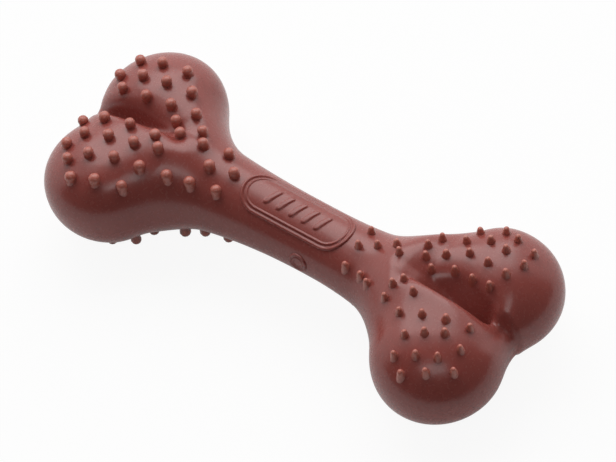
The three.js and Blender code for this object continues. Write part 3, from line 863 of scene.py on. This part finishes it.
# The twelve fields of nubs.
stud_tree = build_nub_tree("Stud field", STUD_RINGS, bone, stud_rubber)
cone_tree = build_nub_tree("Cone field", CONE_RINGS, bone, cone_rubber)
ENDS = [
    ("left", -1, LEFT_ROWS, STUD, stud_tree, stud_rubber),
    ("right", 1, RIGHT_ROWS, CONE, cone_tree, cone_rubber),
]
seed = FIRST_SEED
for end_name, end, rows, nub_size, nub_tree, nub_rubber in ENDS:
    for face_name, face in (("upper", 1.0), ("lower", -1.0)):
        for area in ("near", "far", "neck"):
            if area == "neck":
                node_name = f"neck_nubs_{end_name}_{face_name}"
                origin = (NECK_START[end_name], 0.0)
            else:
                node_name = f"knuckle_nubs_{end_name}_{area}_{face_name}"
                centre_x, centre_y, _ = KNUCKLES[f"{end_name} {area}".title()]
                origin = (centre_x, centre_y if area == "far" else -centre_y)
            share = LOWER_SHARE[end_name] if face_name == "lower" else 1.0
            start = places_mesh(node_name + "_places", rows[area], end, *origin, share)
            settings = {
                **nub_size,
                **NUB_SPREAD,
                "Bone": bone,
                "Face": face,
                "Tip Level": TIP_LEVEL[face_name],
                "Mid Z": MID_Z,
                "Seed": seed,
                "Material": nub_rubber,
            }
            piece = grown(node_name + "_moulded", start, nub_tree, settings)
            dressed(piece, node_name)
            seed += SEED_STEP

# The two plain raised fields of the shaft.
field_tree = build_raised_field_tree(body_rubber)
for piece_name, node_name, sizes in (
    ("shaft_label_field", "label_field", LABEL),
    ("shaft_round_field", "round_mark", ROUND_MARK),
):
    settings = {**sizes, **SHAFT, **PAD, "Material": body_rubber}
    piece = grown(piece_name, bpy.data.meshes.new(piece_name + "_start"), field_tree, settings)
    dressed(piece, node_name)


def background_rays(tree, mirrored):
    """1 for rays that show the white background; reflections show it by the share mirrored."""
    path = node(tree, "ShaderNodeLightPath")
    glossy = Number(tree, path.outputs["Is Glossy Ray"]) * mirrored
    return glossy.at_least(path.outputs["Is Camera Ray"]).at_least(path.outputs["Is Transmission Ray"])


def white_floor():
    """A pale table top that looks white to the camera and keeps a faint shadow; in front of the bone it
    carries painted shade for all other rays.
    """
    half = TABLE_HALF
    mesh = bpy.data.meshes.new("table_top")
    corners = [(-half, -half, 0.0), (half, -half, 0.0), (half, half, 0.0), (-half, half, 0.0)]
    mesh.from_pydata(corners, [], [(0, 1, 2, 3)])
    floor = bpy.data.objects.new("table_top", mesh)
    bpy.context.scene.collection.objects.link(floor)
    material = bpy.data.materials.new("white_table")
    material.use_nodes = True
    tree = material.node_tree
    tree.nodes.clear()
    x, y, _ = split(tree, node(tree, "ShaderNodeNewGeometry").outputs["Position"])
    # Painted shade: dark in front of the bone for reflections and bounce light, never for the camera.
    in_front = x * FRONT_WAY[0] + y * FRONT_WAY[1]
    shaded_front = ((in_front - PAINTED_SHADE_START) / PAINTED_SHADE_FADE).smooth_step()
    camera_ray = node(tree, "ShaderNodeLightPath").outputs["Is Camera Ray"]
    grey = TABLE_PALE + (FRONT_PAINTED_SHADE - TABLE_PALE) * shaded_front * (1.0 - Number(tree, camera_ray))
    matt = node(tree, "ShaderNodeBsdfDiffuse", Color=joined(tree, grey, grey, grey))
    glow = node(tree, "ShaderNodeEmission", Color=WHITE, Strength=1.0)
    seen = background_rays(tree, (1.0 - shaded_front) * TABLE_MIRRORED) * TABLE_GLOW
    mix = node(tree, "ShaderNodeMixShader", Fac=seen)
    tree.links.new(matt.outputs["BSDF"], mix.inputs[1])
    tree.links.new(glow.outputs["Emission"], mix.inputs[2])
    end = tree.nodes.new("ShaderNodeOutputMaterial")
    tree.links.new(mix.outputs["Shader"], end.inputs["Surface"])
    mesh.materials.append(material)


def studio_world():
    """Plain white to the camera; for the bone a white wall behind it and a dim room elsewhere."""
    world = bpy.data.worlds.new("white_studio")
    bpy.context.scene.world = world
    world.use_nodes = True
    tree = world.node_tree
    back = tree.nodes["Background"]
    x, y, _ = split(tree, node(tree, "ShaderNodeTexCoord").outputs["Generated"])
    toward_back = x * -FRONT_WAY[0] - y * FRONT_WAY[1]
    wall = ((toward_back - WALL_START) / WALL_FADE).smooth_step()
    room = ROOM_DIM + (WALL_BRIGHT - ROOM_DIM) * wall
    seen = background_rays(tree, wall)
    back.inputs["Color"].default_value = WHITE
    feed(tree, mixed(room, 1.0, seen), back.inputs["Strength"])


def soft_lamp(name, azimuth, elevation, width, height, radiance):
    """A softbox that faces the bone; its power follows from its size and brightness."""
    lamp = bpy.data.lights.new(name, "AREA")
    lamp.shape = "RECTANGLE"
    lamp.size = width
    lamp.size_y = height
    lamp.energy = radiance * math.pi * width * height
    holder = bpy.data.objects.new(name, lamp)
    turn, rise = math.radians(azimuth), math.radians(elevation)
    way = Vector((math.cos(rise) * math.cos(turn), math.cos(rise) * math.sin(turn), math.sin(rise)))
    holder.location = Vector((0.0, 0.0, MID_Z)) + way * LAMP_DISTANCE
    holder.rotation_euler = (-way).to_track_quat("-Z", "Y").to_euler()
    bpy.context.scene.collection.objects.link(holder)


def photo_camera():
    """The camera of the photograph, from its angle, distance and focal length."""
    ca, sa = math.cos(CAMERA_AZIMUTH), math.sin(CAMERA_AZIMUTH)
    ce, se = math.cos(CAMERA_ELEVATION), math.sin(CAMERA_ELEVATION)
    ahead = Vector((-sa * ce, ca * ce, -se))
    level = Vector((ca, sa, 0.0))
    upward = level.cross(ahead)
    right = level * math.cos(CAMERA_ROLL) + upward * math.sin(CAMERA_ROLL)
    up = upward * math.cos(CAMERA_ROLL) - level * math.sin(CAMERA_ROLL)
    place = Vector((0.0, 0.0, MID_Z)) - ahead * CAMERA_DISTANCE
    place = place + right * CAMERA_RIGHT + up * CAMERA_UP
    lens = bpy.data.cameras.new("photo_camera")
    lens.sensor_fit = "HORIZONTAL"
    lens.sensor_width = SENSOR_WIDTH
    lens.lens = FOCAL_PIXELS / IMAGE_WIDTH * SENSOR_WIDTH
    lens.clip_start = CAMERA_NEAREST
    holder = bpy.data.objects.new("photo_camera", lens)
    turn = Matrix((right, up, -ahead)).transposed().to_4x4()
    holder.matrix_world = Matrix.Translation(place) @ turn
    bpy.context.scene.collection.objects.link(holder)
    bpy.context.scene.camera = holder


white_floor()
studio_world()
soft_lamp("back_softbox", azimuth=128, elevation=50, width=1.1, height=0.75, radiance=2.35)
soft_lamp("front_strip", azimuth=-45, elevation=60, width=0.55, height=0.26, radiance=2.7)
photo_camera()
bpy.context.scene.view_settings.view_transform = "Standard"
